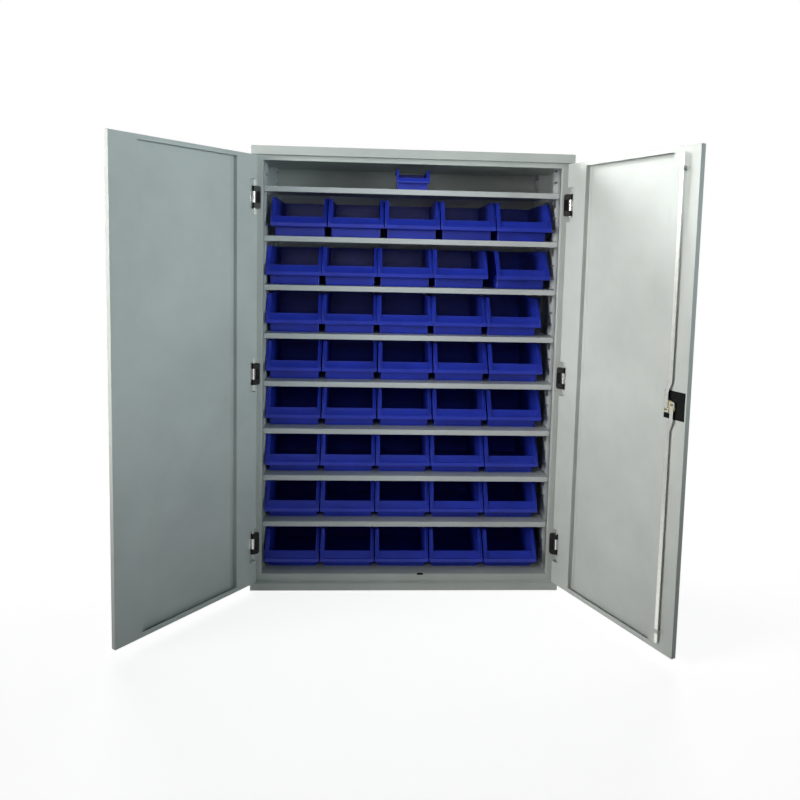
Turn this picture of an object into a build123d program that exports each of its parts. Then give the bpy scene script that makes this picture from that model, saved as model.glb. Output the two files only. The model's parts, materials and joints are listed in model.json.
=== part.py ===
from build123d import *
import math
import os

# Component storage cabinet: a sheet-steel carcass with two hinged doors, a three-point lock, eight
# shelves on slotted uprights and rows of open-fronted plastic bins.
# Everything is drawn with Y = 0 on the face of the front frame, +Y into the cabinet and Z = 0 on the
# floor, with the doors closed. Placing then swings the doors open and moves the origin to the floor
# under the middle of the carcass.

# Overall size
cabinet_width = 1300
cabinet_depth = 500
cabinet_height = 1830

# Sheet thicknesses and the outside radius of a fold
body_sheet = 1.5
door_sheet = 1.2
shelf_sheet = 1.2
fold_radius = 2

# Cap and plinth, which stand forward of the front frame by the thickness of the doors
cap_height = 34
plinth_height = 31
overhang = 24
plinth_flange = 30
plinth_seat = 16
plinth_foot = 20
floor_top = 62
stiffener_width = 60
stiffener_flange = 20

# Front frame
stile_width = 42.5
top_rail_height = 19
frame_return = 22
rail_foot = 14

# Uprights with slots for the shelf clips
upright_inset = 2
front_upright_start = 65
upright_depth = 73
upright_flange = 10
upright_foot = 15
rear_upright_gap = 1.5
slot_length = 50
slot_height = 8
slot_pitch = 50
slot_centre = 29
first_slot = 78

# Shelves and their clips
shelf_count = 8
shelf_pitch = 200
lowest_shelf = 278
shelf_front = 30
shelf_rear_gap = 2.5
shelf_fold = 22
shelf_lip = 10
shelf_lip_depth = 30
shelf_end_gap = 2
shelf_lip_overlap = 1
clip_width = 40
clip_sheet = 1.2
clip_ledge = 19
clip_drop = 60
clip_tongue = 2
clip_lip = 10
clip_slot = 50

# Doors
door_gap = 3
door_side_gap = 3
door_top_gap = 3
door_bottom_gap = 2
door_thickness = 21
door_face_gap = 3
hinge_channel = 105
edge_channel = 108.5
door_top_lip = 17
door_bottom_lip = 19
left_door_open = 128.3
right_door_open = 114.6

# Hinges
hinge_count = 3
hinge_pitch = 714.5
hinge_middle = 913.5
pivot_from_side = 10
pivot_forward = 16
bracket_height = 89
bracket_arm = 22
bracket_thickness = 8
bracket_from_pivot = 25
bracket_spine = 18
bracket_corner = 8
bracket_end_radius = 6
pin_radius = 4
pin_clearance = 0.05
pin_head_radius = 5.5
pin_head = 1.5
pin_end_gap = 0.3
leaf_length = 50
leaf_sheet = 2
knuckle_gap = 0.5
knuckle_groove = 3.5
knuckle_groove_depth = 1.1
hinge_slot_width = 36
hinge_slot_height = 140

# Lock
lock_from_edge = 62.5
lock_height = 911
housing_from_edge = 5.5
housing_width = 87
housing_below = 42
housing_tall = 98
housing_proud = 1
housing_block = 12
cup_wall = 7
cup_flange = 4
cup_flange_sheet = 2.5
dish_radius = 27
dish_floor = 7
dish_gap = 0.5
knob_base = 2.5
knob_inset = 1.5
wing_width = 10
hub_radius = 9
key_radius = 6
key_depth = 10
key_slit = 1.2
key_slit_length = 7
key_slit_depth = 3
spindle_radius = 5
square_drive = 7
cam_radius = 23
cam_sheet = 3
cam_gap = 5
cam_pin_circle = 14
cam_pin_radius = 3
cam_pin_head = 1.2
cam_pin_head_radius = 4.2
cam_screw_radius = 8
cam_screw_head = 0.7
cam_turn = 90

# Locking rods
rod_width = 14
rod_sheet = 3
rod_cam_gap = 1
eye_width = 22
eye_height = 20
eye_slot_length = 13
eye_slot_height = 7.4
rod_jog_start = 50
rod_jog_end = 85
rod_tip_chamfer = 5
rod_tip_gap = 2
rod_pin_gap = 0.3
guide_height = 12
guide_from_end = 74
guide_wall = 2
guide_clearance = 0.5
guide_foot = 10
guide_foot_sheet = 1.5
strike_clearance = 6
strike_depth = 6
strike_behind = 3
rail_hole_clearance = 1.5

# Storage bins
bin_rows = 8
bin_rim_width = 230
bin_body_width = 206
bin_length = 350
bin_height = 160
bin_wall = 2.4
bin_belt_low = 40
bin_belt_high = 56
bin_belt_out = 52
bin_belt_return = 25
bin_lip = 82
bin_lip_band = 4
bin_lip_out = 1.6
bin_panel_in = 6
bin_slope_run = 64
bin_post = 18
bin_rear_rim = 8

# How each row of bins stands: gap at the left end, gap between bins, front of the base. The last bin of
# one row was pushed in askew.
row_left_gap = [21.5, 2, 3, 3.5, 4, 4, 4, 6]
row_bin_gap = [3.7, 1.2, 1, 4.8, 5.2, 3.4, 4.3, 4.3]
row_front = [95, 95, 95, 100, 100, 92, 88, 75]
skewed_row = 2
skewed_bin_angle = 5
skewed_bin_gap = 1.5

# Small bin on the top shelf
small_rim_width = 136
small_body_width = 122
small_length = 190
small_height = 83
small_wall = 2
small_belt_low = 27
small_belt_high = 36
small_belt_out = 28
small_belt_return = 14
small_lip = 48
small_lip_band = 3
small_lip_out = 1.2
small_panel_in = 3
small_slope_run = 29
small_post = 10
small_rear_rim = 5
small_bin_centre = -2
small_bin_front = 55

# Places that follow from the sizes above
half_width = cabinet_width / 2
inner_half = half_width - body_sheet
front = -overhang
back = cabinet_depth - overhang
carcass_top = cabinet_height - cap_height
opening_half = inner_half - stile_width
opening_top = carcass_top - top_rail_height
web_face = opening_half - upright_inset
rear_upright_end = back - body_sheet - rear_upright_gap
rear_upright_start = rear_upright_end - upright_depth
shelf_tops = [lowest_shelf + shelf_pitch * level for level in range(shelf_count)]
bin_gap = max(row_bin_gap)
bins_per_row = int((2 * web_face - max(row_left_gap) + bin_gap) // (bin_rim_width + bin_gap))

door_inner = -door_face_gap
door_outer = door_inner - door_thickness
door_end = half_width - door_side_gap
door_edge = door_gap / 2
door_low = plinth_height + door_bottom_gap
door_high = carcass_top - door_top_gap
plate_back = door_inner - door_sheet
skin_back = door_outer + door_sheet
pivot_x = half_width - pivot_from_side
pivot_y = -pivot_forward
hinge_heights = [hinge_middle + hinge_pitch * (n - (hinge_count - 1) / 2) for n in range(hinge_count)]

lock_x = door_edge + lock_from_edge
housing_back = door_inner + housing_proud
cam_low = housing_back + cam_gap
cam_high = cam_low + cam_sheet
rod_low = cam_high + rod_cam_gap
rod_high = rod_low + rod_sheet
eye_offset = cam_pin_circle * (1 + math.cos(math.radians(cam_turn / 2))) / 2
rod_travel = 2 * cam_pin_circle * math.sin(math.radians(cam_turn / 2))
dish_back = housing_back - dish_floor
knob_face = door_outer - knob_inset
origin = Pos(0, -(front + back) / 2, 0)


def block(x0, x1, y0, y1, z0, z1):
    """A box between two opposite corners."""
    return Pos((x0 + x1) / 2, (y0 + y1) / 2, (z0 + z1) / 2) * Box(x1 - x0, y1 - y0, z1 - z0)


def rod_along_y(x, z, radius, y0, y1):
    """A round bar along Y."""
    return Pos(x, (y0 + y1) / 2, z) * Rot(90, 0, 0) * Cylinder(radius, y1 - y0)


def plate_xz(points, y0, y1):
    """An outline in X and Z, made solid from y0 to y1."""
    face = make_face(Polyline([(x, y0, z) for x, z in points], close=True))
    return extrude(face, y1 - y0, dir=(0, 1, 0))


def prism_yz(points, x0, x1):
    """An outline in Y and Z, made solid from x0 to x1."""
    face = make_face(Polyline([(x0, y, z) for y, z in points], close=True))
    return extrude(face, x1 - x0, dir=(1, 0, 0))


def prism_xy(points, z0, z1):
    """An outline in X and Y, made solid from z0 to z1."""
    face = make_face(Polyline([(x, y, z0) for x, y in points], close=True))
    return extrude(face, z1 - z0, dir=(0, 0, 1))


def other_side(shape):
    """The same piece on the other side of the cabinet."""
    return mirror(shape, about=Plane.YZ)


def swing(shape, side):
    """Turns a closed door's piece about its hinge pin to the open position; side is 1 or -1."""
    angle = right_door_open if side > 0 else -left_door_open
    return Pos(side * pivot_x, pivot_y, 0) * Rot(0, 0, angle) * Pos(-side * pivot_x, -pivot_y, 0) * shape


def write(name, *shapes):
    """Writes one sub-part, moved to the cabinet's own origin."""
    solids = [solid for shape in shapes for solid in (origin * shape).solids()]
    export_step(Compound(children=solids) if len(solids) > 1 else solids[0], f"parts/{name}.step")


def top_cap():
    """Folded lid, open below, and the ceiling panel set into it."""
    lid = block(-half_width, half_width, front, back, carcass_top, cabinet_height)
    corners = lid.edges().filter_by(Axis.Z) + lid.edges().group_by(Axis.Z)[-1]
    lid = fillet(corners, fold_radius)
    lid -= block(
        -inner_half, inner_half, front + body_sheet, back - body_sheet, carcass_top, cabinet_height - body_sheet
    )
    ceiling = block(
        -inner_half, inner_half, front + body_sheet, back - body_sheet, carcass_top, carcass_top + body_sheet
    )
    return lid, ceiling


def base_plinth():
    """Plinth ring with its flanges, the middle stiffener and the floor panel."""
    ring = block(-half_width, half_width, front, back, 0, plinth_height)
    ring = fillet(ring.edges().filter_by(Axis.Z), fold_radius)
    seat_half = half_width - plinth_flange
    seat_back = back - plinth_flange
    foot_half = half_width - plinth_foot
    ring -= block(
        -inner_half, inner_half, front + body_sheet, back - body_sheet, body_sheet, plinth_height - body_sheet
    )
    ring -= block(-seat_half, seat_half, plinth_seat, seat_back, plinth_height - body_sheet, plinth_height)
    ring -= block(-foot_half, foot_half, front + plinth_foot, back - plinth_foot, 0, body_sheet)

    panel_low = floor_top - body_sheet
    half = stiffener_width / 2
    wide = half + stiffener_flange
    top = panel_low - body_sheet
    outline = [
        (-half, 0),
        (half, 0),
        (half, top),
        (wide, top),
        (wide, panel_low),
        (half - body_sheet, panel_low),
        (half - body_sheet, body_sheet),
        (body_sheet - half, body_sheet),
        (body_sheet - half, panel_low),
        (-wide, panel_low),
        (-wide, top),
        (-half, top),
    ]
    stiffener = plate_xz(outline, plinth_seat, seat_back)

    floor = block(-inner_half, inner_half, body_sheet, back - body_sheet, panel_low, floor_top)
    strike_half = rod_width / 2 + strike_clearance
    floor -= block(
        lock_x - strike_half, lock_x + strike_half, body_sheet, rod_high + strike_behind, panel_low, floor_top
    )
    return ring, stiffener, floor


def front_frame():
    """Two stiles and two rails around the door opening."""
    stile = block(opening_half, inner_half, 0, body_sheet, plinth_height, carcass_top)
    stile += block(
        opening_half, opening_half + body_sheet, body_sheet, frame_return, floor_top, opening_top
    )
    folded = stile.edges().filter_by(Axis.Z).filter_by_position(Axis.Y, -0.1, 0.1).sort_by(Axis.X)[0]
    stile = fillet(folded, fold_radius / 2)

    top_rail = block(-opening_half, opening_half, 0, body_sheet, opening_top, carcass_top)
    top_rail += block(
        -opening_half, opening_half, body_sheet, frame_return, opening_top, opening_top + body_sheet
    )
    hole_half = rod_width / 2 + rail_hole_clearance
    top_rail -= block(
        lock_x - hole_half,
        lock_x + hole_half,
        rod_low - rail_hole_clearance,
        rod_high + rail_hole_clearance,
        opening_top,
        opening_top + body_sheet,
    )

    bottom_rail = block(-opening_half, opening_half, 0, body_sheet, plinth_height, floor_top)
    bottom_rail += block(
        -opening_half, opening_half, body_sheet, rail_foot, plinth_height, plinth_height + body_sheet
    )
    strike_half = rod_width / 2 + strike_clearance
    bottom_rail -= block(
        lock_x - strike_half, lock_x + strike_half, 0, body_sheet, floor_top - strike_depth, floor_top
    )
    return stile, other_side(stile), top_rail, bottom_rail


def side_panel():
    """Right side sheet of the carcass."""
    return block(inner_half, half_width, 0, back - body_sheet, plinth_height, carcass_top)


def back_panel():
    """Back sheet of the carcass."""
    return block(-half_width, half_width, back - body_sheet, back, plinth_height, carcass_top)


def upright():
    """Slotted upright at the right front, with its narrow flange towards the doors."""
    start = front_upright_start
    end = start + upright_depth
    outer = web_face + body_sheet
    outline = [
        (web_face, start),
        (outer + upright_flange, start),
        (outer + upright_flange, start + body_sheet),
        (outer, start + body_sheet),
        (outer, end - body_sheet),
        (inner_half - body_sheet, end - body_sheet),
        (inner_half, end - body_sheet),
        (inner_half, end + upright_foot),
        (inner_half - body_sheet, end + upright_foot),
        (inner_half - body_sheet, end),
        (web_face, end),
    ]
    post = prism_xy(outline, floor_top, carcass_top)
    centre = start + slot_centre
    slots = []
    height = first_slot
    while height + slot_height < carcass_top:
        slots.append(
            block(
                web_face,
                outer,
                centre - slot_length / 2,
                centre + slot_length / 2,
                height - slot_height / 2,
                height + slot_height / 2,
            )
        )
        height += slot_pitch
    return post.cut(*slots)


def rear_upright(front_post):
    """The same upright turned round for the rear corner."""
    turned = mirror(front_post, about=Plane.XZ)
    return Pos(0, front_upright_start + rear_upright_end, 0) * turned


def shelf():
    """Shelf with its folded edges, standing with its top at Z = 0."""
    half = web_face - shelf_end_gap
    rear = back - body_sheet - shelf_rear_gap
    tray = block(-half, half, shelf_front, rear, -shelf_fold, 0)
    lip_half = web_face + shelf_lip_overlap
    tray += block(-lip_half, lip_half, shelf_front, shelf_front + shelf_lip_depth, -shelf_fold, 0)
    nosing = tray.edges().filter_by(Axis.X).sort_by(Axis.Y)[:2]
    tray = fillet(nosing, fold_radius)
    tray -= block(
        shelf_sheet - lip_half,
        lip_half - shelf_sheet,
        shelf_front + shelf_sheet,
        shelf_front + shelf_lip_depth - shelf_sheet,
        shelf_sheet - shelf_fold,
        -shelf_sheet,
    )
    lip_back = shelf_front + shelf_lip
    tray -= block(
        shelf_sheet - half, half - shelf_sheet, lip_back, rear - shelf_sheet, -shelf_fold, -shelf_sheet
    )
    return tray


def shelf_clip():
    """Right-hand clip: a ledge under the shelf's end and a hook through a slot of the upright."""
    inner = web_face - clip_sheet
    outer = web_face + body_sheet
    ledge_top = -shelf_fold
    slot_low = -clip_slot - slot_height / 2
    outline = [
        (web_face - clip_ledge, ledge_top),
        (web_face, ledge_top),
        (web_face, slot_low + clip_tongue),
        (outer + clip_sheet, slot_low + clip_tongue),
        (outer + clip_sheet, slot_low - clip_lip),
        (outer, slot_low - clip_lip),
        (outer, slot_low),
        (web_face, slot_low),
        (web_face, -clip_drop),
        (inner, -clip_drop),
        (inner, ledge_top - clip_sheet),
        (web_face - clip_ledge, ledge_top - clip_sheet),
    ]
    return plate_xz(outline, -clip_width / 2, clip_width / 2)


def shelf_clips():
    """Four clips under each shelf."""
    right = shelf_clip()
    left = other_side(right)
    front_slot = front_upright_start + slot_centre
    rear_slot = rear_upright_end - slot_centre
    return [
        Pos(0, y, height) * clip
        for height in shelf_tops
        for y in (front_slot, rear_slot)
        for clip in (right, left)
    ]


def tangent_point(point, centre, radius, turn):
    """Where a line from point touches a circle; turn is 1 or -1 for the two tangents."""
    dx = point[0] - centre[0]
    dy = point[1] - centre[1]
    angle = math.atan2(dy, dx) + turn * math.acos(radius / math.hypot(dx, dy))
    return centre[0] + radius * math.cos(angle), centre[1] + radius * math.sin(angle)


def hinge_bracket():
    """Right-hand C bracket, drawn about Z = 0, with the bores for the hinge pin."""
    start = pivot_x - bracket_from_pivot
    end = start + bracket_spine
    half = bracket_height / 2
    pivot = (pivot_x, pivot_y)
    outline = [
        (start, 0),
        (start, -bracket_thickness),
        tangent_point((start, -bracket_thickness), pivot, bracket_end_radius, 1),
        pivot,
        tangent_point((end, 0), pivot, bracket_end_radius, -1),
        (end, 0),
    ]
    arm = prism_xy(outline, half - bracket_arm, half)
    arm += Pos(pivot_x, pivot_y, half - bracket_arm / 2) * Cylinder(bracket_end_radius, bracket_arm)
    spine = block(start, end, -bracket_thickness, 0, -half, half)
    bracket = spine + arm + mirror(arm, about=Plane.XY)
    corners = bracket.edges().filter_by(Axis.Y).sort_by(Axis.X)[:2]
    bracket = fillet(corners, bracket_corner)
    return bracket - Pos(pivot_x, pivot_y, 0) * Cylinder(pin_radius + pin_clearance, bracket_height)


def hinge_leaf():
    """Right-hand leaf with its knuckle, drawn about Z = 0 on the closed door, and the hinge pin."""
    half = bracket_height / 2 - bracket_arm - knuckle_gap
    height = 2 * half
    leaf = block(pivot_x - leaf_length, pivot_x, skin_back, skin_back + leaf_sheet, -half, half)
    leaf += Pos(pivot_x, pivot_y, 0) * Cylinder(bracket_end_radius, height)
    groove = Cylinder(bracket_end_radius, knuckle_groove)
    groove -= Cylinder(bracket_end_radius - knuckle_groove_depth, knuckle_groove)
    groove -= Pos(0, -bracket_end_radius, 0) * Box(
        2 * bracket_end_radius, 2 * (bracket_end_radius + pivot_y - skin_back - leaf_sheet), knuckle_groove
    )
    for place in (-height / 6, height / 6):
        leaf -= Pos(pivot_x, pivot_y, place) * groove
    leaf -= Pos(pivot_x, pivot_y, 0) * Cylinder(pin_radius + pin_clearance / 2, height)
    reach = bracket_height / 2 + pin_end_gap
    pin = Cylinder(pin_radius, 2 * reach)
    for place in (-1, 1):
        pin += Pos(0, 0, place * (reach + pin_head / 2)) * Cylinder(pin_head_radius, pin_head)
    return leaf, Pos(pivot_x, pivot_y, 0) * pin


def door(with_lock):
    """Right-hand door, closed: a folded pan and its two stiffening channels."""
    pan = block(door_edge, door_end, door_outer, door_inner, door_low, door_high)
    face_edges = pan.edges().group_by(Axis.Y)[0]
    pan = fillet(face_edges, fold_radius)
    low = door_low + door_sheet
    high = door_high - door_sheet
    pan -= block(door_edge + door_sheet, door_end - door_sheet, skin_back, door_inner, low, high)
    panel_start = door_edge + edge_channel
    panel_end = door_end - hinge_channel
    lip_high = high - door_top_lip + door_sheet
    lip_low = low + door_bottom_lip - door_sheet
    pan += block(panel_start, panel_end, plate_back, door_inner, lip_high, high)
    pan += block(panel_start, panel_end, plate_back, door_inner, low, lip_low)

    hinge_side = block(panel_end, door_end - door_sheet, plate_back, door_inner, low, high)
    hinge_side += block(panel_end, panel_end + door_sheet, skin_back, plate_back, low, high)
    edge_side = block(door_edge + door_sheet, panel_start, plate_back, door_inner, low, high)
    edge_side += block(panel_start - door_sheet, panel_start, skin_back, plate_back, low, high)

    half_slot = hinge_slot_height / 2
    slots = [
        block(door_end - hinge_slot_width, door_end, skin_back, door_inner, z - half_slot, z + half_slot)
        for z in hinge_heights
    ]
    pan = pan.cut(*slots)
    hinge_side = hinge_side.cut(*slots)
    if with_lock:
        edge_side -= block(
            door_edge + housing_from_edge,
            door_edge + housing_from_edge + housing_width,
            plate_back,
            door_inner,
            lock_height - housing_below,
            lock_height - housing_below + housing_tall,
        )
        cup = dish_radius + cup_wall
        pan -= block(
            lock_x - cup, lock_x + cup, door_outer, skin_back, lock_height - cup, lock_height + cup
        )
    return pan, hinge_side, edge_side


def rod_guides():
    """Blocks on the right door that the two rods slide through."""
    guides = []
    for height in (door_low + guide_from_end, door_high - guide_from_end):
        z0 = height - guide_height / 2
        z1 = height + guide_height / 2
        inner = rod_width / 2 + guide_clearance
        outer = inner + guide_wall
        foot = outer + guide_foot
        body = block(
            lock_x - outer, lock_x + outer, door_inner, rod_high + guide_clearance + guide_wall, z0, z1
        )
        body += block(lock_x - foot, lock_x + foot, door_inner, door_inner + guide_foot_sheet, z0, z1)
        body -= block(
            lock_x - inner, lock_x + inner, rod_low - guide_clearance, rod_high + guide_clearance, z0, z1
        )
        guides.append(body)
    return guides


def lock_housing():
    """Lock body in the right door, with the dish that the wing knob turns in."""
    x0 = door_edge + housing_from_edge
    z0 = lock_height - housing_below
    cup = dish_radius + cup_wall
    rim = cup + cup_flange
    block_front = housing_back - housing_block
    body = block(x0, x0 + housing_width, block_front, plate_back, z0, z0 + housing_tall)
    body += block(x0, x0 + housing_width, plate_back, housing_back, z0, z0 + housing_tall)
    body += block(lock_x - cup, lock_x + cup, door_outer, block_front, lock_height - cup, lock_height + cup)
    flange = block(
        lock_x - rim,
        lock_x + rim,
        door_outer - cup_flange_sheet,
        door_outer,
        lock_height - rim,
        lock_height + rim,
    )
    flange = fillet(flange.edges().filter_by(Axis.Y), cup_flange)
    body += flange
    body -= rod_along_y(lock_x, lock_height, dish_radius, door_outer - cup_flange_sheet, dish_back)
    body -= rod_along_y(lock_x, lock_height, spindle_radius + pin_clearance, dish_back, housing_back)
    boss = rod_along_y(lock_x, lock_height, hub_radius, housing_back, cam_low)
    boss -= rod_along_y(lock_x, lock_height, spindle_radius + pin_clearance, housing_back, cam_low)
    return body + boss


def lock_handle():
    """Wing knob in the dish, with the spindle that drives the cam."""
    disc = dish_radius - dish_gap
    base_front = dish_back - knob_base
    knob = rod_along_y(lock_x, lock_height, disc, base_front, dish_back)
    wing = block(
        lock_x - disc,
        lock_x + disc,
        knob_face,
        base_front,
        lock_height - wing_width / 2,
        lock_height + wing_width / 2,
    )
    wing &= rod_along_y(lock_x, lock_height, disc - dish_gap, knob_face, base_front)
    knob += wing
    knob += rod_along_y(lock_x, lock_height, hub_radius, knob_face, base_front)
    knob -= rod_along_y(lock_x, lock_height, key_radius + pin_clearance, knob_face, knob_face + key_depth)
    knob += rod_along_y(lock_x, lock_height, spindle_radius, dish_back, cam_low)
    half = square_drive / 2
    knob += block(lock_x - half, lock_x + half, cam_low, cam_high, lock_height - half, lock_height + half)
    return knob


def key_cylinder():
    """Lock cylinder in the middle of the wing knob, with its key slit."""
    core = rod_along_y(lock_x, lock_height, key_radius, knob_face - pin_end_gap, knob_face + key_depth)
    core -= block(
        lock_x - key_slit / 2,
        lock_x + key_slit / 2,
        knob_face - pin_end_gap,
        knob_face + key_slit_depth,
        lock_height - key_slit_length / 2,
        lock_height + key_slit_length / 2,
    )
    return core


def pin_place(upper):
    """Centre of one of the cam's two pins with the rods drawn back."""
    offset = cam_pin_circle * math.cos(math.radians(cam_turn / 2))
    drop = rod_travel / 2
    if upper:
        return lock_x + offset, lock_height - drop
    return lock_x - offset, lock_height + drop


def lock_cam():
    """Cam disc with its two headed pins, and the screw that holds it on the spindle."""
    cam = rod_along_y(lock_x, lock_height, cam_radius, cam_low, cam_high)
    half = square_drive / 2
    cam -= block(lock_x - half, lock_x + half, cam_low, cam_high, lock_height - half, lock_height + half)
    for upper in (True, False):
        x, z = pin_place(upper)
        pin_end = rod_high + rod_pin_gap
        cam += rod_along_y(x, z, cam_pin_radius, cam_high, pin_end)
        cam += rod_along_y(x, z, cam_pin_head_radius, pin_end, pin_end + cam_pin_head)
    screw = rod_along_y(lock_x, lock_height, cam_screw_radius, cam_high, cam_high + cam_screw_head)
    return cam, screw


def lock_rod(upper):
    """Flat rod from the cam to the rail, with a slotted eye; the upper or the lower one."""
    up = 1 if upper else -1
    eye_x = lock_x + up * eye_offset
    eye_z = pin_place(upper)[1]
    half = rod_width / 2
    if upper:
        tip = opening_top - rod_tip_gap
    else:
        tip = floor_top + rod_tip_gap
    jog_start = lock_height + up * rod_jog_start
    jog_end = lock_height + up * rod_jog_end
    outline = [
        (eye_x - half, eye_z),
        (eye_x - half, jog_start),
        (lock_x - half, jog_end),
        (lock_x - half, tip - up * rod_tip_chamfer),
        (lock_x - half + rod_tip_chamfer, tip),
        (lock_x + half - rod_tip_chamfer, tip),
        (lock_x + half, tip - up * rod_tip_chamfer),
        (lock_x + half, jog_end),
        (eye_x + half, jog_start),
        (eye_x + half, eye_z),
    ]
    rod = plate_xz(outline, rod_low, rod_high)
    eye = block(
        eye_x - eye_width / 2,
        eye_x + eye_width / 2,
        rod_low,
        rod_high,
        eye_z - eye_height / 2,
        eye_z + eye_height / 2,
    )
    eye = fillet(eye.edges().filter_by(Axis.Y), eye_width / 4)
    return rod + eye - block(
        eye_x - eye_slot_length / 2,
        eye_x + eye_slot_length / 2,
        rod_low,
        rod_high,
        eye_z - eye_slot_height / 2,
        eye_z + eye_slot_height / 2,
    )


def storage_bin(
    rim_width,
    body_width,
    length,
    height,
    wall,
    belt_low,
    belt_high,
    belt_out,
    belt_return,
    lip,
    lip_band,
    lip_out,
    panel_in,
    slope_run,
    post,
    rear_rim,
):
    """Bin standing on Z = 0, the front of its base at Y = 0, its mouth reaching out over that."""
    rim = rim_width / 2
    body = body_width / 2
    rear = length - rear_rim
    slope_end = slope_run - belt_out
    side = [
        (0, 0),
        (rear, 0),
        (rear, height),
        (slope_end, height),
        (-belt_out, belt_high),
        (0, belt_high),
    ]
    shell = prism_yz(side, -body, body)

    belt = block(-rim, rim, -belt_out, belt_return, belt_low, belt_high)
    belt -= block(
        wall - rim, rim - wall, wall - belt_out, belt_return, belt_low, belt_high - wall
    )
    shell += belt

    lean = slope_run / (height - belt_high)
    wall_across = wall * math.hypot(1, lean)
    panel_low = panel_in - belt_out
    panel_high = panel_low + (lip - belt_high) * lean
    hollow = [
        (wall, wall),
        (rear - wall, wall),
        (rear - wall, height),
        (-belt_out, height),
        (-belt_out, lip),
        (panel_high + wall_across, lip),
        (panel_low + wall_across, belt_high),
        (wall, belt_high),
    ]
    shell -= prism_yz(hollow, wall - body, body - wall)
    before_panel = [
        (-belt_out, belt_high),
        (panel_low, belt_high),
        (panel_high, lip),
        (panel_high - panel_in, lip),
    ]
    shell -= prism_yz(before_panel, wall - body, body - wall)
    shell += block(
        wall - body, body - wall, panel_high - lip_out, panel_high + wall_across, lip - lip_band, lip
    )

    slope_strip = [
        (-belt_out, belt_high),
        (slope_end, height),
        (slope_end + wall_across, height),
        (wall_across - belt_out, belt_high),
    ]
    shell += prism_yz(slope_strip, rim - post, rim)
    shell += prism_yz(slope_strip, -rim, post - rim)
    shell += block(body, rim, slope_end, length, height - wall, height)
    shell += block(-rim, -body, slope_end, length, height - wall, height)
    return shell + block(-rim, rim, rear, length, height - wall, height)


def bins():
    """Every large bin by name: rows from the top, numbers from the left."""
    pattern = storage_bin(
        bin_rim_width,
        bin_body_width,
        bin_length,
        bin_height,
        bin_wall,
        bin_belt_low,
        bin_belt_high,
        bin_belt_out,
        bin_belt_return,
        bin_lip,
        bin_lip_band,
        bin_lip_out,
        bin_panel_in,
        bin_slope_run,
        bin_post,
        bin_rear_rim,
    )
    supports = [shelf_tops[shelf_count - 1 - row] for row in range(1, shelf_count)] + [floor_top]
    middle = bin_length / 2
    skew = math.radians(skewed_bin_angle)
    skewed_half = bin_rim_width / 2 * math.cos(skew) + middle * math.sin(skew)
    placed = {}
    for row in range(1, bin_rows + 1):
        left = row_left_gap[row - 1] - web_face
        step = bin_rim_width + row_bin_gap[row - 1]
        front_edge = row_front[row - 1]
        for number in range(1, bins_per_row + 1):
            centre = left + bin_rim_width / 2 + step * (number - 1)
            place = Pos(centre, front_edge, supports[row - 1])
            if row == skewed_row and number == bins_per_row:
                neighbour = left + step * (number - 1) - row_bin_gap[row - 1]
                centre = neighbour + skewed_bin_gap + skewed_half
                place = Pos(centre, front_edge + middle, supports[row - 1])
                place = place * Rot(0, 0, skewed_bin_angle) * Pos(0, -middle, 0)
            placed[f"bin_r{row}_c{number}"] = place * pattern
    return placed


def small_bin():
    """The small bin alone on the top shelf."""
    shape = storage_bin(
        small_rim_width,
        small_body_width,
        small_length,
        small_height,
        small_wall,
        small_belt_low,
        small_belt_high,
        small_belt_out,
        small_belt_return,
        small_lip,
        small_lip_band,
        small_lip_out,
        small_panel_in,
        small_slope_run,
        small_post,
        small_rear_rim,
    )
    return Pos(small_bin_centre, small_bin_front, shelf_tops[-1]) * shape


def carcass():
    """Writes what stands still."""
    panel = side_panel()
    write("side_panels", panel, other_side(panel))
    write("back_panel", back_panel())
    write("top_cap", *top_cap())
    write("base_plinth", *base_plinth())
    write("front_frame", *front_frame())
    front_post = upright()
    rear_post = rear_upright(front_post)
    write("shelf_uprights", front_post, rear_post, other_side(front_post), other_side(rear_post))
    board = shelf()
    write("shelves", *[Pos(0, 0, height) * board for height in shelf_tops])
    write("shelf_clips", *shelf_clips())
    bracket = hinge_bracket()
    brackets = [Pos(0, 0, height) * bracket for height in hinge_heights]
    write("hinge_brackets", *brackets, *[other_side(piece) for piece in brackets])


def doors():
    """Writes the two doors, their hinge leaves and the lock."""
    leaves = [Pos(0, 0, height) * piece for height in hinge_heights for piece in hinge_leaf()]
    write("right_door", *[swing(piece, 1) for piece in (*door(True), *rod_guides())])
    write("right_hinge_leaves", *[swing(piece, 1) for piece in leaves])
    write("left_door", *[swing(other_side(piece), -1) for piece in door(False)])
    write("left_hinge_leaves", *[swing(other_side(piece), -1) for piece in leaves])
    write("lock_housing", swing(lock_housing(), 1))
    write("lock_handle", swing(lock_handle(), 1))
    write("key_cylinder", swing(key_cylinder(), 1))
    write("lock_cam", *[swing(piece, 1) for piece in lock_cam()])
    write("upper_lock_rod", swing(lock_rod(True), 1))
    write("lower_lock_rod", swing(lock_rod(False), 1))


os.makedirs("parts", exist_ok=True)
carcass()
doors()
for bin_name, shape in bins().items():
    write(bin_name, shape)
write("small_bin", small_bin())
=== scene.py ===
import json
import math

import bmesh
import bpy
from mathutils import Matrix, Vector


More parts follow.
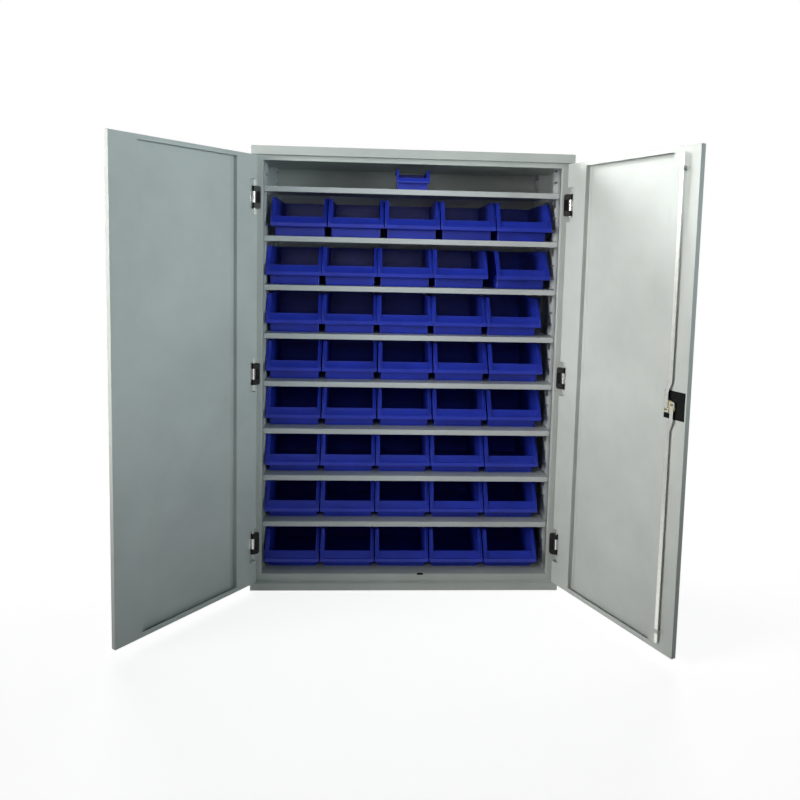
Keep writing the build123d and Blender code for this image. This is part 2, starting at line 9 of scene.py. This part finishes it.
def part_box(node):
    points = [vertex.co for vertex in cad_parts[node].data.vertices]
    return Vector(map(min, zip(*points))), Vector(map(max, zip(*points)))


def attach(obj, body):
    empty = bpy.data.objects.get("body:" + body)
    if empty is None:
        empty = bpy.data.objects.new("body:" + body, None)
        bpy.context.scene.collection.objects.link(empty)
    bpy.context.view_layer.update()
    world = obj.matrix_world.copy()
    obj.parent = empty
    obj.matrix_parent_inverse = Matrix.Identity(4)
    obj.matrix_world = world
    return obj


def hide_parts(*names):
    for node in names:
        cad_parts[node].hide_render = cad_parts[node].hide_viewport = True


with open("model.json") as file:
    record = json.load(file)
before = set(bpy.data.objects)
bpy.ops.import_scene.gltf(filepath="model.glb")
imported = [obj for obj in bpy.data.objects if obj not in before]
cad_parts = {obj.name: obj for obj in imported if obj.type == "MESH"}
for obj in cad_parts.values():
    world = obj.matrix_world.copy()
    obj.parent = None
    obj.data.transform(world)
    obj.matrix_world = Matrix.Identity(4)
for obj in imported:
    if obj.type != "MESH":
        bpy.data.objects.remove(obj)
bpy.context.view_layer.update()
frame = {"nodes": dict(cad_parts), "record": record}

mm = 0.001

# Camera of the photograph, in the part's frame, with its framing in the picture's own pixels
camera_place = (-0.1829, -3.1026, 1.4033)
camera_yaw = 2.93
camera_pitch = -5.14
camera_roll = 1.29
picture_px = 800
focal_px = 703.35
centre_px = (402.35, 320.12)
sensor_mm = 36

# Doors, in millimetres: how far each one stands open, where its pin is, and what is inside its pan.
# Drawn closed, Y is the distance behind the front frame's face.
side_half = 650
frame_face = -226
pivot_from_side = 10
pivot_forward = 16
left_door_open = 128.3
right_door_open = 114.6
door_low = 33
door_high = 1793
door_skin = -22.8
door_end = 647
door_edge = 1.5
hinge_channel = 105
edge_channel = 108.5
channel_foot = 13
foot_sheet = 1.2
foot_short = 4
foot_rounding = 0.3
weld_pitch = 126
weld_radius = 3.4
weld_rise = 0.5
weld_share = 0.55

# Strike cup under the floor panel's notch, in millimetres, where the lower locking rod drops in; being
# black, it also paints in the shade under the cabinet that would show through the notch
lock_x = 64
strike_half = 16
strike_front = 1.6
strike_back = 16
strike_low = 36
strike_high = 60.4
strike_sheet = 1
strike_rounding = 0.4

# Half of the floor's width, and where it begins and ends to fade into the room, in metres
floor_half = 20
fade_start = 1.2
fade_end = 3.2

# The one bin that stands askew
skewed_bin = "bin_r2_c5"
skewed_bin_angle = 5

# Large bin, in millimetres, standing on Z = 0 with the front of its base at Y = 0
large_bin = {
    "rim": 230,
    "body": 206,
    "length": 350,
    "height": 160,
    "wall": 2.4,
    "belt_low": 40,
    "belt_high": 56,
    "belt_out": 52,
    "belt_return": 25,
    "lip": 82,
    "lip_band": 4,
    "lip_out": 1.6,
    "panel_in": 6,
    "slope_run": 64,
    "post": 18,
    "rear_rim": 8,
    "turn_down": 7,
    "corner": 5,
    "edge": 1.1,
}

# Ribs outside a bin's walls, as shares of its length, and their height and roundings as shares of a wall
rib_places = (0.35, 0.65, 0.95)
rib_rise = 0.6
wall_rounding = 0.4
post_rounding = 0.3

# Small bin, in the same terms as the large one
small_bin = {
    "rim": 136,
    "body": 122,
    "length": 190,
    "height": 83,
    "wall": 2,
    "belt_low": 27,
    "belt_high": 36,
    "belt_out": 28,
    "belt_return": 14,
    "lip": 48,
    "lip_band": 3,
    "lip_out": 1.2,
    "panel_in": 3,
    "slope_run": 29,
    "post": 10,
    "rear_rim": 5,
    "turn_down": 4,
    "corner": 3,
    "edge": 0.8,
}


def make_camera():
    """The photograph's camera, from its place, turn and framing."""
    yaw = math.radians(camera_yaw)
    pitch = math.radians(camera_pitch)
    roll = math.radians(camera_roll)
    ahead = Vector((math.sin(yaw) * math.cos(pitch), math.cos(yaw) * math.cos(pitch), math.sin(pitch)))
    level = Vector((math.cos(yaw), -math.sin(yaw), 0))
    upright = level.cross(ahead)
    right = level * math.cos(roll) + upright * math.sin(roll)
    up = upright * math.cos(roll) - level * math.sin(roll)
    data = bpy.data.cameras.new("camera")
    data.sensor_width = sensor_mm
    data.lens = focal_px / picture_px * sensor_mm
    data.shift_x = (picture_px / 2 - centre_px[0]) / picture_px
    data.shift_y = (centre_px[1] - picture_px / 2) / picture_px
    camera = bpy.data.objects.new("camera", data)
    turn = Matrix((right, up, -ahead)).transposed().to_4x4()
    camera.matrix_world = Matrix.Translation(camera_place) @ turn
    bpy.context.scene.collection.objects.link(camera)
    bpy.context.scene.camera = camera


def add_lamp(name, place, target, size, power, spread_angle=180, colour=(1, 1, 1)):
    """A soft rectangular lamp that points at a target, with a grid that narrows its beam."""
    data = bpy.data.lights.new(name, "AREA")
    data.shape = "RECTANGLE"
    data.size = size[0]
    data.size_y = size[1]
    data.energy = power
    data.spread = math.radians(spread_angle)
    data.color = colour
    lamp = bpy.data.objects.new(name, data)
    lamp.location = place
    lamp.rotation_mode = "QUATERNION"
    lamp.rotation_quaternion = (Vector(target) - Vector(place)).to_track_quat("-Z", "Y")
    bpy.context.scene.collection.objects.link(lamp)


def node(tree, kind, inputs=None, **settings):
    """A shader node with its settings, and its inputs linked or set."""
    made = tree.nodes.new("ShaderNode" + kind)
    for name, value in settings.items():
        setattr(made, name, value)
    for name, value in (inputs or {}).items():
        if isinstance(value, bpy.types.NodeSocket):
            tree.links.new(value, made.inputs[name])
        else:
            made.inputs[name].default_value = value
    return made


def noise(tree, place, scale, detail=3.0, roughness=0.55):
    """Noise from 0 to 1 with about scale lumps to the metre."""
    inputs = {"Vector": place, "Scale": scale, "Detail": detail, "Roughness": roughness}
    return node(tree, "TexNoise", inputs).outputs[0]


def spread(tree, value, from_low, from_high, to_low, to_high):
    """A value moved from one range to another, and held inside it."""
    inputs = {
        "Value": value,
        "From Min": from_low,
        "From Max": from_high,
        "To Min": to_low,
        "To Max": to_high,
    }
    return node(tree, "MapRange", inputs).outputs["Result"]


def calculate(tree, operation, first, second):
    """Two values joined by one sum."""
    return node(tree, "Math", {0: first, 1: second}, operation=operation).outputs[0]


def mix(tree, share, first, second, blend="MIX"):
    """Two colours mixed by a share."""
    made = tree.nodes.new("ShaderNodeMix")
    made.data_type = "RGBA"
    made.blend_type = blend
    for index, value in ((0, share), (6, first), (7, second)):
        if isinstance(value, bpy.types.NodeSocket):
            tree.links.new(value, made.inputs[index])
        else:
            made.inputs[index].default_value = value if index == 0 else (*value, 1)
    return made.outputs[2]


def scaled(tree, place, scale):
    """Coordinates stretched along the axes."""
    return node(tree, "Mapping", {"Vector": place, "Scale": scale}).outputs["Vector"]


def bump(tree, height, distance, normal=None, strength=1.0):
    """A surface raised by height times distance, in metres."""
    inputs = {"Height": height, "Distance": distance, "Strength": strength}
    if normal is not None:
        inputs["Normal"] = normal
    return node(tree, "Bump", inputs).outputs["Normal"]


def rounded_edges(tree, radius):
    """The normal of the surface with its edges rounded, and a mask that is 1 on those edges."""
    rounded = node(tree, "Bevel", {"Radius": radius}, samples=4).outputs["Normal"]
    flat = node(tree, "NewGeometry").outputs["Normal"]
    alike = node(tree, "VectorMath", {0: rounded, 1: flat}, operation="DOT_PRODUCT").outputs["Value"]
    return rounded, spread(tree, alike, 0.99, 0.8, 0.0, 1.0)


def new_material(name):
    """An empty principled material: its tree, its shader and the object's own coordinates."""
    material = bpy.data.materials.new(name)
    material.use_nodes = True
    tree = material.node_tree
    shader = tree.nodes["Principled BSDF"]
    place = node(tree, "TexCoord").outputs["Object"]
    return material, tree, shader, place


def finish_shader(tree, shader, colour, roughness, normal):
    """Links the three surface values that vary over a piece."""
    tree.links.new(colour, shader.inputs["Base Color"])
    tree.links.new(roughness, shader.inputs["Roughness"])
    tree.links.new(normal, shader.inputs["Normal"])


def powder_coat(name, colour, gloss=0.40):
    """Light grey powder coat on sheet steel: orange peel, a slightly wavy sheet, faint dirt, and folds
    painted lighter, partly as wear and partly as a painted highlight.
    """
    material, tree, shader, place = new_material(name)
    rounded, edge = rounded_edges(tree, 1.2 * mm)
    clouds = noise(tree, place, 2.6, 4.0, 0.6)
    smudges = noise(tree, scaled(tree, place, (1, 1, 0.25)), 14, 5.0, 0.65)
    grain = noise(tree, place, 900, 2.0, 0.5)
    darker = tuple(part * 0.90 for part in colour)
    lighter = tuple(min(1, part * 1.05) for part in colour)
    # Lighter tone for the rounded folds: partly rubbed paint, partly a painted highlight along the edges.
    worn_and_highlit_fold = tuple(min(1, part * 1.18) for part in colour)
    tone = mix(tree, spread(tree, clouds, 0.35, 0.7, 0.0, 1.0), lighter, darker)
    tone = mix(tree, spread(tree, smudges, 0.62, 0.80, 0.0, 0.35), tone, (0.40, 0.40, 0.37))
    tone = mix(tree, spread(tree, grain, 0.3, 0.7, 0.0, 0.10), tone, darker)
    patches = spread(tree, noise(tree, place, 60, 4.0), 0.35, 0.75, 0.15, 1.0)
    chips_and_fold_highlight = calculate(tree, "MULTIPLY", edge, patches)
    tone = mix(tree, calculate(tree, "MULTIPLY", chips_and_fold_highlight, 0.55), tone, worn_and_highlit_fold)
    roughness = spread(tree, smudges, 0.3, 0.75, gloss - 0.05, gloss + 0.10)
    sheet = bump(tree, noise(tree, place, 3.2, 1.5), 0.5 * mm, rounded, 0.6)
    peel = bump(tree, noise(tree, place, 420, 2.0), 0.03 * mm, sheet, 0.8)
    finish_shader(tree, shader, tone, roughness, peel)
    shader.inputs["IOR"].default_value = 1.5
    return material


def zinc_plate(name, colour, roughness=0.34, lumps=70):
    """Zinc-plated steel: bright metal with soft grey clouds and fine rolling lines."""
    material, tree, shader, place = new_material(name)
    rounded, edge = rounded_edges(tree, 0.6 * mm)
    clouds = noise(tree, place, lumps, 4.0, 0.6)
    lines = noise(tree, scaled(tree, place, (1, 1, 0.04)), 1600, 3.0, 0.6)
    dull = tuple(part * 0.84 for part in colour)
    tone = mix(tree, spread(tree, clouds, 0.3, 0.75, 0.0, 1.0), colour, dull)
    tone = mix(tree, calculate(tree, "MULTIPLY", edge, 0.6), tone, (0.92, 0.92, 0.90))
    rough = spread(tree, lines, 0.3, 0.7, roughness - 0.07, roughness + 0.10)
    normal = bump(tree, lines, 0.02 * mm, rounded, 0.5)
    finish_shader(tree, shader, tone, rough, normal)
    shader.inputs["Metallic"].default_value = 1.0
    return material


def passivated(name):
    """Yellow-passivated zinc: brassy metal with faint green and rose clouds."""
    material, tree, shader, place = new_material(name)
    rounded, edge = rounded_edges(tree, 0.5 * mm)
    clouds = noise(tree, place, 110, 4.0, 0.6)
    tint = noise(tree, scaled(tree, place, (1, 1.4, 0.7)), 60, 3.0, 0.5)
    tone = mix(tree, spread(tree, clouds, 0.3, 0.7, 0.0, 1.0), (0.80, 0.62, 0.30), (0.55, 0.50, 0.22))
    tone = mix(tree, spread(tree, tint, 0.55, 0.75, 0.0, 0.6), tone, (0.70, 0.42, 0.34))
    tone = mix(tree, calculate(tree, "MULTIPLY", edge, 0.5), tone, (0.95, 0.86, 0.62))
    rough = spread(tree, clouds, 0.2, 0.8, 0.24, 0.42)
    normal = bump(tree, noise(tree, place, 1500, 2.0), 0.015 * mm, rounded, 0.5)
    finish_shader(tree, shader, tone, rough, normal)
    shader.inputs["Metallic"].default_value = 1.0
    return material


def black_finish(name, colour, roughness, grain_scale, grain_depth):
    """Black paint or moulding with a fine grain, lighter where its edges are rubbed."""
    material, tree, shader, place = new_material(name)
    rounded, edge = rounded_edges(tree, 0.8 * mm)
    grain = noise(tree, place, grain_scale, 3.0, 0.6)
    dust = noise(tree, place, 45, 5.0, 0.65)
    tone = mix(tree, spread(tree, dust, 0.55, 0.85, 0.0, 0.35), colour, (0.030, 0.030, 0.029))
    tone = mix(tree, calculate(tree, "MULTIPLY", edge, 0.35), tone, (0.09, 0.09, 0.09))
    rough = spread(tree, dust, 0.3, 0.8, roughness, roughness + 0.18)
    normal = bump(tree, grain, grain_depth, rounded, 0.7)
    finish_shader(tree, shader, tone, rough, normal)
    shader.inputs["IOR"].default_value = 1.24
    return material


def moulded_blue(name, colour):
    """Blue polypropylene: fine grain, flow clouds, scuffs, and edges painted paler, partly stress-whitening
    and partly a painted highlight such as the line along the lip; each bin a little different.
    """
    material, tree, shader, place = new_material(name)
    rounded, edge = rounded_edges(tree, 0.9 * mm)
    chance = node(tree, "ObjectInfo").outputs["Random"]
    shift = node(tree, "VectorMath", {0: place, 1: chance}, operation="ADD").outputs["Vector"]
    flow = noise(tree, scaled(tree, shift, (1, 1, 2.2)), 9, 3.0, 0.5)
    grain = noise(tree, shift, 1300, 2.0, 0.6)
    scuffs = noise(tree, scaled(tree, shift, (1.0, 6.0, 1.0)), 55, 6.0, 0.7)
    deeper = tuple(part * 0.80 for part in colour)
    brighter = tuple(min(1, part * 1.14) for part in colour)
    pale = (0.16, 0.20, 0.72)
    tone = mix(tree, spread(tree, flow, 0.3, 0.7, 0.0, 1.0), deeper, brighter)
    tone = mix(tree, spread(tree, chance, 0.0, 1.0, 0.0, 0.22), tone, deeper)
    tone = mix(tree, spread(tree, scuffs, 0.64, 0.80, 0.0, 0.25), tone, pale)
    # Paler rounded edges: partly stress-whitened plastic, partly a painted highlight along the lip and
    # rims.
    tone = mix(tree, calculate(tree, "MULTIPLY", edge, 0.60), tone, pale)
    rough = spread(tree, scuffs, 0.3, 0.8, 0.27, 0.45)
    normal = bump(tree, grain, 0.03 * mm, rounded, 0.6)
    finish_shader(tree, shader, tone, rough, normal)
    shader.inputs["IOR"].default_value = 1.42
    return material


materials = {
    "grey_paint": powder_coat("grey_paint", (0.585, 0.625, 0.600)),
    "shelf_paint": powder_coat("shelf_paint", (0.580, 0.620, 0.630), 0.36),
    "zinc_steel": zinc_plate("zinc_steel", (0.88, 0.89, 0.82), 0.42),
    "hinge_steel": zinc_plate("hinge_steel", (0.80, 0.80, 0.78), 0.26, 160),
    "black_hinge": black_finish("black_hinge", (0.012, 0.012, 0.013), 0.28, 900, 0.02 * mm),
    "black_plastic": black_finish("black_plastic", (0.006, 0.006, 0.007), 0.40, 1400, 0.05 * mm),
    "key_metal": zinc_plate("key_metal", (0.82, 0.81, 0.78), 0.18, 300),
    "yellow_zinc": passivated("yellow_zinc"),
    "blue_plastic": moulded_blue("blue_plastic", (0.019, 0.041, 0.49)),
}


def dress(piece, slot):
    """Gives a piece one material of the record."""
    piece.data.materials.clear()
    piece.data.materials.append(materials[slot])


def new_piece(name, mesh, slot, body):
    """A piece with its finish, riding on a body."""
    piece = bpy.data.objects.new(name, mesh)
    bpy.context.scene.collection.objects.link(piece)
    if not mesh.materials:
        mesh.materials.append(materials[slot])
    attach(piece, body)
    return piece


def prism(points, low, high, axis="x", rounding=0.0, segments=2):
    """An outline made solid along one axis, with every edge rounded, as a loose object in millimetres."""
    order = {"x": lambda a, b, c: (c, a, b), "z": lambda a, b, c: (a, b, c)}
    shape = bmesh.new()
    ends = [[shape.verts.new(order[axis](a, b, c)) for a, b in points] for c in (low, high)]
    count = len(points)
    shape.faces.new(ends[0])
    shape.faces.new(ends[1][::-1])
    for index in range(count):
        after = (index + 1) % count
        shape.faces.new((ends[0][index], ends[1][index], ends[1][after], ends[0][after]))
    bmesh.ops.recalc_face_normals(shape, faces=shape.faces)
    if rounding:
        bmesh.ops.bevel(
            shape, geom=shape.edges[:], offset=rounding, segments=segments, profile=0.5, affect="EDGES"
        )
    mesh = bpy.data.meshes.new("loose")
    shape.to_mesh(mesh)
    shape.free()
    return bpy.data.objects.new("loose", mesh)


def block(x0, x1, y0, y1, z0, z1, rounding=0.0, segments=2):
    """A box with rounded edges, in millimetres."""
    return prism([(x0, y0), (x1, y0), (x1, y1), (x0, y1)], z0, z1, "z", rounding, segments)


def shaped(base, added, removed):
    """The mesh of a base with some solids added and others cut away."""
    loose = [base, *added, *removed]
    for piece in loose:
        bpy.context.scene.collection.objects.link(piece)
    for piece in added:
        step = base.modifiers.new("add", "BOOLEAN")
        step.operation = "UNION"
        step.solver = "EXACT"
        step.object = piece
    for piece in removed:
        step = base.modifiers.new("cut", "BOOLEAN")
        step.operation = "DIFFERENCE"
        step.solver = "EXACT"
        step.object = piece
    weights = base.modifiers.new("normals", "WEIGHTED_NORMAL")
    weights.keep_sharp = True
    bpy.context.view_layer.update()
    for piece in loose:
        piece.data.shade_smooth()
    mesh = bpy.data.meshes.new_from_object(base.evaluated_get(bpy.context.evaluated_depsgraph_get()))
    for piece in loose:
        bpy.data.objects.remove(piece)
    mesh.transform(Matrix.Scale(mm, 4))
    return mesh


def bin_slope(size, thickness):
    """How far a bin's mouth leans back for each millimetre up, and a thickness along Y on that slope."""
    lean = size["slope_run"] / (size["height"] - size["belt_high"])
    return lean, thickness * math.hypot(1, lean)


def bin_band(size, thickness):
    """Outline in Y and Z of the strip along the sloped mouth and the rim of a bin's side."""
    lean, across = bin_slope(size, thickness)
    front = -size["belt_out"]
    slope_end = front + size["slope_run"]
    return [
        (front, size["belt_high"]),
        (slope_end, size["height"]),
        (size["length"], size["height"]),
        (size["length"], size["height"] - thickness),
        (slope_end + across - lean * thickness, size["height"] - thickness),
        (front + across, size["belt_high"]),
    ]


def loose_again(mesh):
    """A shaped mesh as a loose object in millimetres, to be shaped further."""
    mesh.transform(Matrix.Scale(1 / mm, 4))
    return bpy.data.objects.new("loose", mesh)


def bin_tray(size):
    """A bin's walls with its leaning front panel, as a loose object."""
    body = size["body"] / 2
    wall = size["wall"]
    corner = size["corner"]
    edge = size["edge"]
    height = size["height"]
    high = size["belt_high"]
    front = -size["belt_out"]
    rear = size["length"] - size["rear_rim"]
    lean, across = bin_slope(size, wall)
    panel_low = front + size["panel_in"]
    panel_high = panel_low + (size["lip"] - high) * lean
    base = block(-body, body, 0, rear, 0, high + corner, corner, 4)
    mouth = [
        (0, size["belt_low"]),
        (rear, size["belt_low"]),
        (rear, height),
        (front + size["slope_run"], height),
        (front, high),
        (0, high),
    ]
    room = [
        (wall, wall),
        (rear - wall, wall),
        (rear - wall, height + corner),
        (front - corner, height + corner),
        (front - corner, size["lip"]),
        (panel_high + across, size["lip"]),
        (panel_low + across, high),
        (wall, high),
    ]
    before_panel = [
        (front - corner, high),
        (panel_low, high),
        (panel_high + lean * corner, size["lip"] + corner),
        (front - corner, size["lip"] + corner),
    ]
    inner = body - wall
    walls = prism(mouth, -body, body, "x", edge, 3)
    removed = [prism(room, -inner, inner, "x", edge, 3), prism(before_panel, -inner, inner)]
    tray = loose_again(shaped(base, [walls], removed))
    lip_roll = block(
        -inner,
        inner,
        panel_high - size["lip_out"],
        panel_high + across,
        size["lip"] - size["lip_band"],
        size["lip"],
        size["lip_out"] * 0.6,
        3,
    )
    return tray, lip_roll


def bin_mesh(name, size):
    """Open-fronted bin with its belt, leaning front panel, turned-down rims and rounded walls."""
    rim = size["rim"] / 2
    body = size["body"] / 2
    wall = size["wall"]
    edge = size["edge"]
    height = size["height"]
    front = -size["belt_out"]
    rear = size["length"] - size["rear_rim"]
    belt = block(-rim, rim, front, size["belt_return"], size["belt_low"], size["belt_high"], edge * 1.4, 4)
    under_belt = block(
        wall - rim,
        rim - wall,
        wall + front,
        size["belt_return"] + edge,
        size["belt_low"] - edge,
        size["belt_high"] - wall,
    )
    skirt = loose_again(shaped(belt, [], [under_belt]))
    tray, lip_roll = bin_tray(size)
    across = bin_slope(size, wall)[1]
    slope_end = front + size["slope_run"]
    mouth_strip = [
        (front, size["belt_high"] - edge),
        (slope_end, height),
        (slope_end + across, height),
        (front + across, size["belt_high"] - edge),
    ]
    rims = []
    for side in (-1, 1):
        flat = sorted((side * (body - wall), side * rim))
        turned = sorted((side * (rim - wall), side * rim))
        post = sorted((side * (rim - size["post"]), side * body))
        rims.append(prism(bin_band(size, wall), *flat, "x", wall * wall_rounding))
        rims.append(prism(bin_band(size, size["turn_down"]), *turned, "x", wall * wall_rounding))
        rims.append(prism(mouth_strip, *post, "x", wall * post_rounding))
    length = size["length"]
    for start, thickness in ((rear - wall, wall), (length - wall, size["turn_down"])):
        rims.append(block(-rim, rim, start, length, height - thickness, height, wall * wall_rounding))
    ribs = []
    for side in (-1, 1):
        reach = sorted((side * (body - wall / 2), side * (body + wall * rib_rise)))
        for share in rib_places:
            y0 = rear * share - wall
            y1 = rear * share + wall
            ribs.append(block(*reach, y0, y1, size["corner"], height - wall, wall * wall_rounding))
    mesh = shaped(tray, [skirt, lip_roll, *rims, *ribs], [])
    centre = Vector((0, (length + front) / 2, height / 2)) * mm
    mesh.transform(Matrix.Translation(-centre))
    mesh.name = name
    return mesh


def swung(mesh, side):
    """Turns a mesh drawn in millimetres on the closed right-hand door to where either door stands."""
    angle = right_door_open if side > 0 else -left_door_open
    pin = Vector((side * (side_half - pivot_from_side), -pivot_forward, 0))
    mirrored = Matrix.Diagonal((side, 1, 1, 1))
    turn = Matrix.Translation(pin) @ Matrix.Rotation(math.radians(angle), 4, "Z") @ Matrix.Translation(-pin)
    mesh.transform(Matrix.Scale(mm, 4) @ Matrix.Translation((0, frame_face, 0)) @ turn @ mirrored)
    if side < 0:
        mesh.flip_normals()
    return mesh


def weld_mark(shape, x, z):
    """A spot weld: a shallow round pad on the foot of a channel."""
    surface = door_skin + foot_sheet
    place = Matrix.Translation((x, surface, z)) @ Matrix.Diagonal((weld_radius, weld_rise, weld_radius, 1))
    bmesh.ops.create_uvsphere(shape, u_segments=16, v_segments=8, radius=1, matrix=place)


def channel_foot_mesh(start, outward):
    """The foot of a door's channel along its panel, with its row of spot welds; outward is 1 or -1."""
    near, far = sorted((start, start + outward * channel_foot))
    strip = block(
        near,
        far,
        door_skin,
        door_skin + foot_sheet,
        door_low + foot_short,
        door_high - foot_short,
        foot_sheet * foot_rounding,
    )
    shape = bmesh.new()
    shape.from_mesh(strip.data)
    bpy.data.objects.remove(strip)
    count = int((door_high - door_low) // weld_pitch)
    middle = (door_low + door_high) / 2
    weld_line = start + outward * channel_foot * weld_share
    for number in range(count):
        weld_mark(shape, weld_line, middle + weld_pitch * (number - (count - 1) / 2))
    mesh = bpy.data.meshes.new("foot")
    shape.to_mesh(mesh)
    shape.free()
    mesh.shade_smooth()
    return mesh


def dress_doors():
    """Feet of the four channels inside the doors."""
    for side, door in ((-1, "left_door"), (1, "right_door")):
        hinge_foot = swung(channel_foot_mesh(door_end - hinge_channel, -1), side)
        edge_foot = swung(channel_foot_mesh(door_edge + edge_channel, 1), side)
        new_piece(door + "_hinge_channel_foot", hinge_foot, "grey_paint", door)
        new_piece(door + "_edge_channel_foot", edge_foot, "grey_paint", door)


def place_bins():
    """Stands a detailed bin in the place of each plain one."""
    meshes = {"large": bin_mesh("large_bin", large_bin), "small": bin_mesh("small_bin", small_bin)}
    for name in sorted(frame["nodes"]):
        if name.startswith("bin_r"):
            mesh = meshes["large"]
        elif name == "small_bin":
            mesh = meshes["small"]
        else:
            continue
        low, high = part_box(name)
        piece = bpy.data.objects.new(name + "_moulding", mesh)
        bpy.context.scene.collection.objects.link(piece)
        piece.location = (low + high) / 2
        if name == skewed_bin:
            piece.rotation_euler = (0, 0, math.radians(skewed_bin_angle))
        if not mesh.materials:
            mesh.materials.append(materials["blue_plastic"])
        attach(piece, name)
        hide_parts(name)


def add_shading_strike_cup():
    """Folded black cup under the notch in the floor panel, which the lower rod drops into; its black is
    painted shade, hiding the glowing floor seen through the notch.
    """
    x0 = lock_x - strike_half
    x1 = lock_x + strike_half
    y0 = frame_face + strike_front
    y1 = frame_face + strike_back
    cup = block(x0, x1, y0, y1, strike_low, strike_high, strike_sheet * strike_rounding)
    room = block(
        x0 + strike_sheet,
        x1 - strike_sheet,
        y0 + strike_sheet,
        y1 - strike_sheet,
        strike_low + strike_sheet,
        strike_high + strike_sheet,
    )
    mesh = shaped(cup, [], [room])
    mesh.name = "lock_strike_cup"
    # The black finish paints in the shade beneath the cabinet, where the floor glows.
    new_piece("lock_strike_cup", mesh, "black_hinge", "carcass")


def dress_frame():
    """Gives each CAD node that stays the finish that the record names for it."""
    slots = {part["node"]: part["material_slot"] for part in frame["record"]["subparts"]}
    for name, piece in frame["nodes"].items():
        dress(piece, slots[name])


def make_stage():
    """A pale floor that takes the object's shadow and fades into a white room."""
    material = bpy.data.materials.new("floor")
    material.use_nodes = True
    tree = material.node_tree
    tree.nodes.clear()
    ways = node(tree, "LightPath").outputs
    seen = calculate(tree, "MAXIMUM", ways["Is Camera Ray"], ways["Is Glossy Ray"])
    seen = calculate(tree, "MAXIMUM", seen, ways["Is Transmission Ray"])
    place = node(tree, "TexCoord").outputs["Object"]
    distance = node(tree, "VectorMath", {0: place}, operation="LENGTH").outputs["Value"]
    far = spread(tree, distance, fade_start, fade_end, 0.0, 1.0)
    grain = noise(tree, place, 3, 3.0)
    pale = mix(tree, grain, (0.42, 0.42, 0.42), (0.46, 0.46, 0.46))
    lit = node(tree, "BsdfDiffuse", {"Color": pale})
    glow = node(tree, "Emission", {"Color": (1, 1, 1, 1), "Strength": 0.84})
    near = node(tree, "AddShader", {0: lit.outputs[0], 1: glow.outputs[0]})
    white = node(tree, "Emission", {"Color": (1, 1, 1, 1), "Strength": 1.0})
    shown = node(tree, "MixShader", {0: far, 1: near.outputs[0], 2: white.outputs[0]})
    plain = node(tree, "BsdfDiffuse", {"Color": (0.55, 0.55, 0.55, 1)})
    both = node(tree, "MixShader", {0: seen, 1: plain.outputs[0], 2: shown.outputs[0]})
    node(tree, "OutputMaterial", {"Surface": both.outputs[0]})
    mesh = bpy.data.meshes.new("floor")
    corners = [(x * floor_half, y * floor_half, 0) for x, y in ((-1, -1), (1, -1), (1, 1), (-1, 1))]
    mesh.from_pydata(corners, [], [(0, 1, 2, 3)])
    mesh.materials.append(material)
    floor = bpy.data.objects.new("floor", mesh)
    bpy.context.scene.collection.objects.link(floor)

    world = bpy.data.worlds.new("room")
    bpy.context.scene.world = world
    world.use_nodes = True
    tree = world.node_tree
    tree.nodes.clear()
    ways = node(tree, "LightPath").outputs
    seen = calculate(tree, "MAXIMUM", ways["Is Camera Ray"], ways["Is Transmission Ray"])
    strength = spread(tree, seen, 0, 1, 0.04, 1.0)
    daylight = mix(tree, seen, (0.84, 0.98, 1.0), (1, 1, 1))
    room = node(tree, "Background", {"Color": daylight, "Strength": strength})
    node(tree, "OutputWorld", {"Surface": room.outputs[0]})


def light_stage():
    """Soft lamps in front of the cabinet, at the left, the right and above, and three behind it."""
    add_lamp("left_front", (-3.0, -2.0, 1.9), (0.7, -0.5, 1.36), (1.5, 1.5), 17, 60, (1.0, 0.975, 0.94))
    add_lamp("left_low", (-2.6, -3.0, 1.0), (0.25, -0.35, 0.55), (1.2, 0.6), 1.1, 40, (1.0, 0.98, 0.96))
    add_lamp("right_front", (2.8, -3.2, 1.8), (-0.8, -0.6, 1.58), (1.5, 1.5), 7.4, 46, (0.84, 0.97, 1.0))
    add_lamp("over_top", (-1.6, 0.9, 2.9), (0.9, -0.75, 1.75), (1.2, 1.2), 6.5, 36)
    add_lamp("back_left", (-2.6, 2.8, 2.4), (0.0, 0.2, 0.9), (1.6, 1.6), 55)
    add_lamp("back_right", (2.4, 2.8, 2.4), (0.0, 0.2, 0.9), (1.6, 1.6), 60)
    add_lamp("above_camera", (-0.2, -2.6, 3.0), (0.1, -0.2, 1.6), (1.8, 0.5), 0.8, 60)
    add_lamp("at_camera", (-0.2, -3.3, 1.8), (0.1, -0.2, 1.6), (1.8, 0.4), 0.8, 60)


make_camera()
make_stage()
light_stage()
dress_frame()
dress_doors()
add_shading_strike_cup()
place_bins()

bpy.context.scene.view_settings.view_transform = "Standard"
